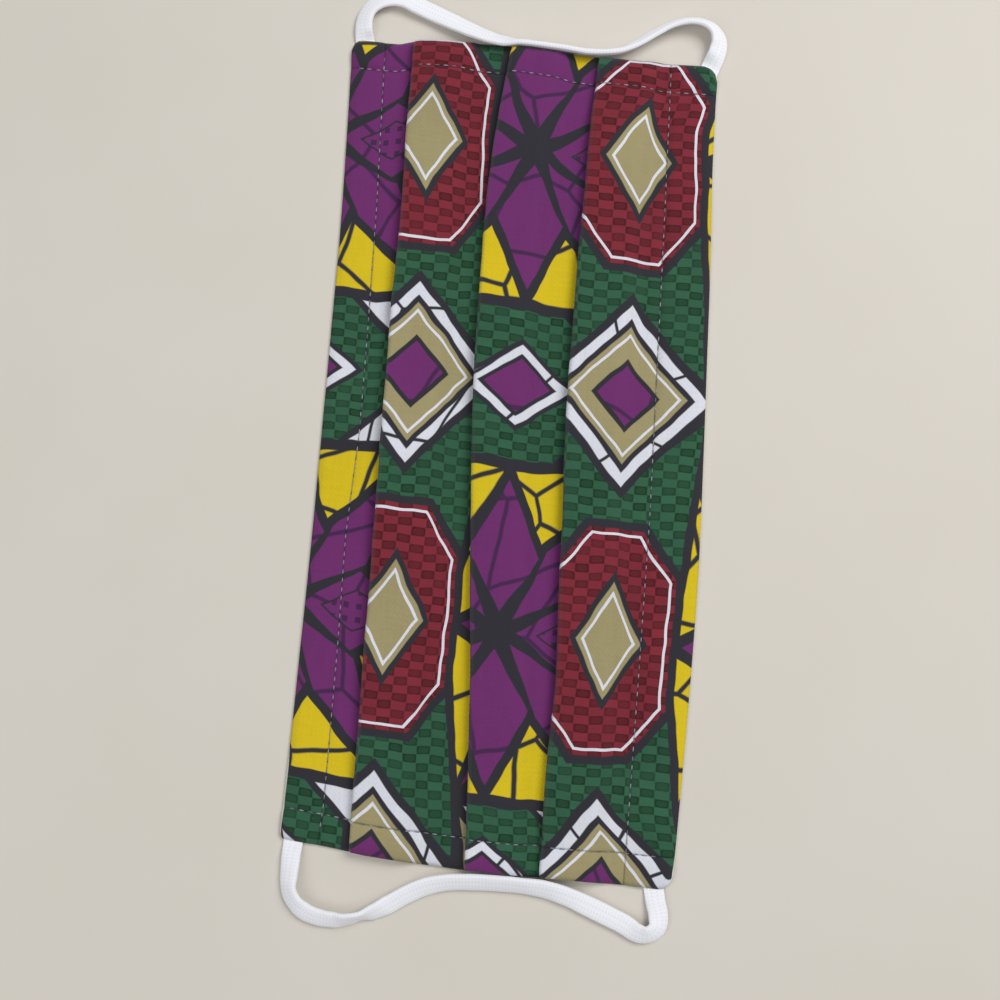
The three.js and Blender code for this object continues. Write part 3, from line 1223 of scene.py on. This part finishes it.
@dataclass
class EarLoop:
    """A flat knitted elastic band that leaves one corner of the panel and comes back at the other."""

    side: int
    route: tuple[Triple, ...]
    panel: PleatedPanel
    width: float = 4.8
    thickness: float = 1.6
    clearance: float = 0.05
    tucked: float = 3.0
    # Pressed flat in the seam: the height of its middle, the share of its thickness, and the way out of it
    seam_height: float = 0.45
    seam_share: float = 0.3
    seam_reach: tuple[float, float] = (2.5, 6.5)
    # Powers that square the section's width and its thickness
    squareness: tuple[float, float] = (0.8, 0.62)
    # Uneven width and thickness: reach as a share, grain along the band, and which noise
    wander: tuple[Triple, Triple] = ((0.035, 7, 3.0), (0.06, 4, 8.0))
    steps: int = 12
    ring_points: int = 40
    centres: list[Vector] = field(default_factory=list)

    def middle(self, row: Triple) -> Vector:
        """Place a row of the route: past the panel's end, across it, and up by the band's lean.

        Args:
            row: how far out past half the panel's length, the place across, and the lean in degrees.

        Returns:
            The point on the band's middle line.
        """
        out, across, lean = row
        standing = (self.width - self.thickness) / 2
        height = self.thickness / 2 + self.clearance + standing * math.sin(math.radians(lean))
        return Vector((self.side * (self.panel.half_length + out), across, height))

    def tuck(self, end: Vector, inner: Vector) -> Vector:
        """Go on from an end of the route into the panel's seam.

        Args:
            end: the route's last point.
            inner: the point before it.

        Returns:
            The point inside the seam.
        """
        point = end + (end - inner).normalized() * self.tucked
        point.z = self.seam_height
        return point

    def build(self, name: str) -> bpy.types.Object:
        """Sweep the band's section along its route.

        Args:
            name: the piece's name.

        Returns:
            The band.
        """
        route = [self.middle(row) for row in self.route]
        points = [self.tuck(route[0], route[1]), *route, self.tuck(route[-1], route[-2])]
        line, lean = self.curve(points, [0.0, *(row[2] for row in self.route), 0.0])
        arcs = [0.0]
        for a, b in zip(line, line[1:]):
            arcs.append(arcs[-1] + (b - a).length)
        for i, point in enumerate(line):
            out = self.out_of_seam(arcs, i)
            point.z = self.seam_height + (point.z - self.seam_height) * out
            lean[i] *= out
        rings = len(line) - 1
        mesh = bmesh.new()
        bmesh.ops.create_grid(mesh, x_segments=rings, y_segments=self.ring_points, size=0.5)
        band = mesh.loops.layers.uv.new("band")
        places = {}
        for vertex in mesh.verts:
            i = round((vertex.co.x + 0.5) * rings)
            j = round((vertex.co.y + 0.5) * self.ring_points)
            places[vertex] = (j / self.ring_points, arcs[i] / arcs[-1])
            vertex.co = self.ring_point(line, lean[i], arcs, i, j) * MM
        for face in mesh.faces:
            for loop in face.loops:
                loop[band].uv = places[loop.vert]
        bmesh.ops.remove_doubles(mesh, verts=mesh.verts, dist=0.001 * MM)
        bmesh.ops.holes_fill(mesh, edges=[edge for edge in mesh.edges if edge.is_boundary], sides=0)
        bmesh.ops.recalc_face_normals(mesh, faces=mesh.faces)
        self.centres = [point * MM for point in line]
        return finish_piece(mesh, name, [KnittedElastic().material(arcs[-1])])

    def out_of_seam(self, arcs: list[float], i: int) -> float:
        """Give how far a ring is out of the seam, where the band is pressed flat between the cloths.

        Args:
            arcs: the length along the line to each ring.
            i: the ring.

        Returns:
            0 in the seam, 1 where the band is free.
        """
        return smooth(*self.seam_reach, min(arcs[i], arcs[-1] - arcs[i]))

    def ring_point(self, line: list[Vector], lean: float, arcs: list[float], i: int, j: int) -> Vector:
        """Place one point of a ring round the band.

        Args:
            line: the band's middle line.
            lean: the band's lean at this ring, in degrees.
            arcs: the length along the line to each ring.
            i: the ring.
            j: the point on it.

        Returns:
            The point, in millimetres.
        """
        tangent = (line[min(i + 1, len(line) - 1)] - line[max(i - 1, 0)]).normalized()
        level = Vector((0, 0, 1)).cross(tangent).normalized()
        width = Matrix.Rotation(self.side * math.radians(lean), 3, tangent) @ level
        normal = width.cross(tangent)
        fullness = self.seam_share + (1 - self.seam_share) * self.out_of_seam(arcs, i)
        uneven = [
            1 + reach * ripple(arcs[i], self.side, grain, 1, seed) for reach, grain, seed in self.wander
        ]
        angle = 2 * math.pi * j / self.ring_points
        waves = zip((math.cos(angle), math.sin(angle)), self.squareness)
        across, up = (math.copysign(abs(wave) ** power, wave) for wave, power in waves)
        half_width = self.width / 2 * uneven[0]
        half_thick = self.thickness / 2 * fullness * uneven[1]
        return line[i] + width * across * half_width + normal * up * half_thick

    def curve(self, points: list[Vector], leans: list[float]) -> tuple[list[Vector], list[float]]:
        """Draw a smooth curve through the route's points, with its bends spaced as the points are.

        Args:
            points: the route's points.
            leans: the band's lean at each.

        Returns:
            The curve's points and the lean at each.
        """
        ends = [2 * points[0] - points[1], *points, 2 * points[-1] - points[-2]]
        line, lean = [], []
        for i in range(1, len(ends) - 2):
            a, b, c, d = ends[i - 1 : i + 3]
            t1 = (b - a).length ** 0.5
            t2 = t1 + (c - b).length ** 0.5
            t3 = t2 + (d - c).length ** 0.5
            for k in range(self.steps):
                t = t1 + (t2 - t1) * k / self.steps
                ab = a * (1 - t / t1) + b * (t / t1)
                bc = b.lerp(c, (t - t1) / (t2 - t1))
                cd = c * ((t3 - t) / (t3 - t2)) + d * ((t - t2) / (t3 - t2))
                low = ab * ((t2 - t) / t2) + bc * (t / t2)
                high = bc * ((t3 - t) / (t3 - t1)) + cd * ((t - t1) / (t3 - t1))
                line.append(low.lerp(high, (t - t1) / (t2 - t1)))
                lean.append(leans[i - 1] + (leans[i] - leans[i - 1]) * smooth(0, 1, k / self.steps))
        line.append(points[-1])
        lean.append(leans[-1])
        return line, lean

    def length(self) -> float:
        """The length of the band's middle line, in metres."""
        return sum((b - a).length for a, b in zip(self.centres, self.centres[1:]))


@dataclass
class Studio:
    """The camera where the photographer stood, a pale table and soft light from the mask's far corner."""

    # The eye and the picture's right and down directions, from a pinhole camera fitted to the corners
    eye: Triple = (44.89, 15.37, 321.15)
    right: Triple = (-0.0788, 0.9959, -0.0439)
    down: Triple = (0.9921, 0.0741, -0.1013)
    lens: float = 46.8
    sensor: float = 36.0
    table_size: float = 3000.0
    key_place: Triple = (-420.0, 520.0, 760.0)
    key_size: float = 560.0
    key_power: float = 6.6
    fill_place: Triple = (380.0, -520.0, 700.0)
    fill_size: float = 700.0
    fill_power: float = 2.4
    room_strength: float = 0.4
    room_colour: str = "#eef0f4"

    def add_camera(self) -> bpy.types.Object:
        """Place the camera.

        Returns:
            The camera.
        """
        data = bpy.data.cameras.new("photo_view")
        data.lens = self.lens
        data.sensor_width = self.sensor
        data.clip_start = 0.01
        camera = bpy.data.objects.new("photo_view", data)
        bpy.context.scene.collection.objects.link(camera)
        right = Vector(self.right).normalized()
        up = -Vector(self.down)
        up = (up - right * up.dot(right)).normalized()
        turned = Matrix([right, up, right.cross(up)]).transposed().to_4x4()
        camera.matrix_world = Matrix.Translation(Vector(self.eye) * MM) @ turned
        bpy.context.scene.camera = camera
        return camera

    def add_table(self) -> bpy.types.Object:
        """Make the table that the mask lies on.

        Returns:
            The table.
        """
        mesh = bmesh.new()
        bmesh.ops.create_grid(mesh, x_segments=1, y_segments=1, size=self.table_size / 2 * MM)
        table = finish_piece(mesh, "table", [PaleTable().material()])
        return table

    def add_light(self, name: str, place: Triple, size: float, power: float) -> None:
        """Hang a square soft light that faces the mask.

        Args:
            name: the light's name.
            place: where it hangs.
            size: its side.
            power: its power in watts.
        """
        data = bpy.data.lights.new(name, "AREA")
        data.size = size * MM
        data.energy = power
        light = bpy.data.objects.new(name, data)
        light.location = Vector(place) * MM
        light.rotation_euler = Vector(place).to_track_quat("Z", "Y").to_euler()
        bpy.context.scene.collection.objects.link(light)

    def add_lights(self) -> None:
        """Light the table softly, with the key light from the photograph's upper right."""
        self.add_light("key_light", self.key_place, self.key_size, self.key_power)
        self.add_light("fill_light", self.fill_place, self.fill_size, self.fill_power)
        world = bpy.data.worlds.new("soft_room")
        world.use_nodes = True
        room = world.node_tree.nodes["Background"].inputs
        room["Color"].default_value = linear(self.room_colour)
        room["Strength"].default_value = self.room_strength
        bpy.context.scene.world = world
        bpy.context.scene.view_settings.view_transform = "Standard"


# Routes of the two bands: how far out past half the panel's length, the place across, the lean in degrees
LEFT_ROUTE = (
    (1.0, -45.4, 15), (3.8, -45.9, 20), (6.7, -45.9, 25), (9.5, -44.8, 28), (11.5, -42.5, 28),
    (12.6, -39.4, 25), (12.6, -36.0, 20), (11.3, -32.6, 15), (9.5, -28.2, 12), (7.6, -23.6, 18),
    (5.8, -19.2, 26), (4.15, -14.8, 36), (2.9, -10.0, 44), (2.6, -4.5, 66), (2.15, 1.0, 68),
    (1.6, 6.5, 70), (1.15, 12.0, 64), (1.2, 17.0, 68), (2.1, 21.2, 66), (4.3, 25.0, 58),
    (7.0, 28.8, 56), (9.3, 32.7, 60), (10.7, 36.8, 60), (10.6, 40.9, 56), (9.0, 43.8, 50),
    (6.3, 45.2, 38), (3.4, 45.0, 25), (-0.5, 43.6, 10),
)
RIGHT_ROUTE = (
    (-1.1, -44.9, 5), (2.4, -45.0, 10), (6.4, -45.0, 25), (9.7, -44.8, 38), (12.5, -43.4, 35),
    (14.7, -40.7, 25), (15.8, -37.3, 28), (16.1, -33.6, 36), (15.7, -30.1, 54), (14.6, -27.0, 66),
    (13.3, -23.6, 40), (11.3, -20.1, 22), (8.7, -16.1, 22), (6.4, -11.6, 27), (5.0, -6.6, 32),
    (4.45, -1.1, 34), (4.2, 4.9, 36), (4.2, 10.9, 37), (4.6, 16.9, 30), (5.9, 22.4, 16),
    (7.7, 27.4, 4), (9.5, 32.1, 2), (11.2, 36.4, 5), (12.8, 39.5, 20), (12.95, 42.1, 32),
    (11.2, 44.2, 26), (8.3, 44.3, 10), (5.4, 43.5, 0), (2.6, 42.9, 0),
)


def main() -> None:
    """Build the mask on its table: camera and ear loops first, then the panel and its stitches."""
    logging.basicConfig(level=logging.INFO, format="%(message)s")
    studio = Studio()
    studio.add_camera()
    panel = PleatedPanel()
    loops = {
        "ear_loop_left": (EarLoop(-1, LEFT_ROUTE, panel), 0.120),
        "ear_loop_right": (EarLoop(1, RIGHT_ROUTE, panel), 0.123),
    }
    for node, (loop, length) in loops.items():
        band = loop.build("knitted_" + node)
        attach(band, BODY)
        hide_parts(node)
        log.info("%s: middle line %.4f m, %d faces", band.name, loop.length(), len(band.data.polygons))
    cloth = panel.build("folded_panel")
    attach(cloth, BODY)
    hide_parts("pleated_panel")
    log.info("%s: %d faces before its wall", cloth.name, len(cloth.data.polygons))
    stitches = Topstitching(panel).build("topstitching", cloth)
    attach(stitches, BODY)
    log.info("%s: %d faces", stitches.name, len(stitches.data.polygons))
    studio.add_table()
    studio.add_lights()


if __name__ == "__main__":
    main()
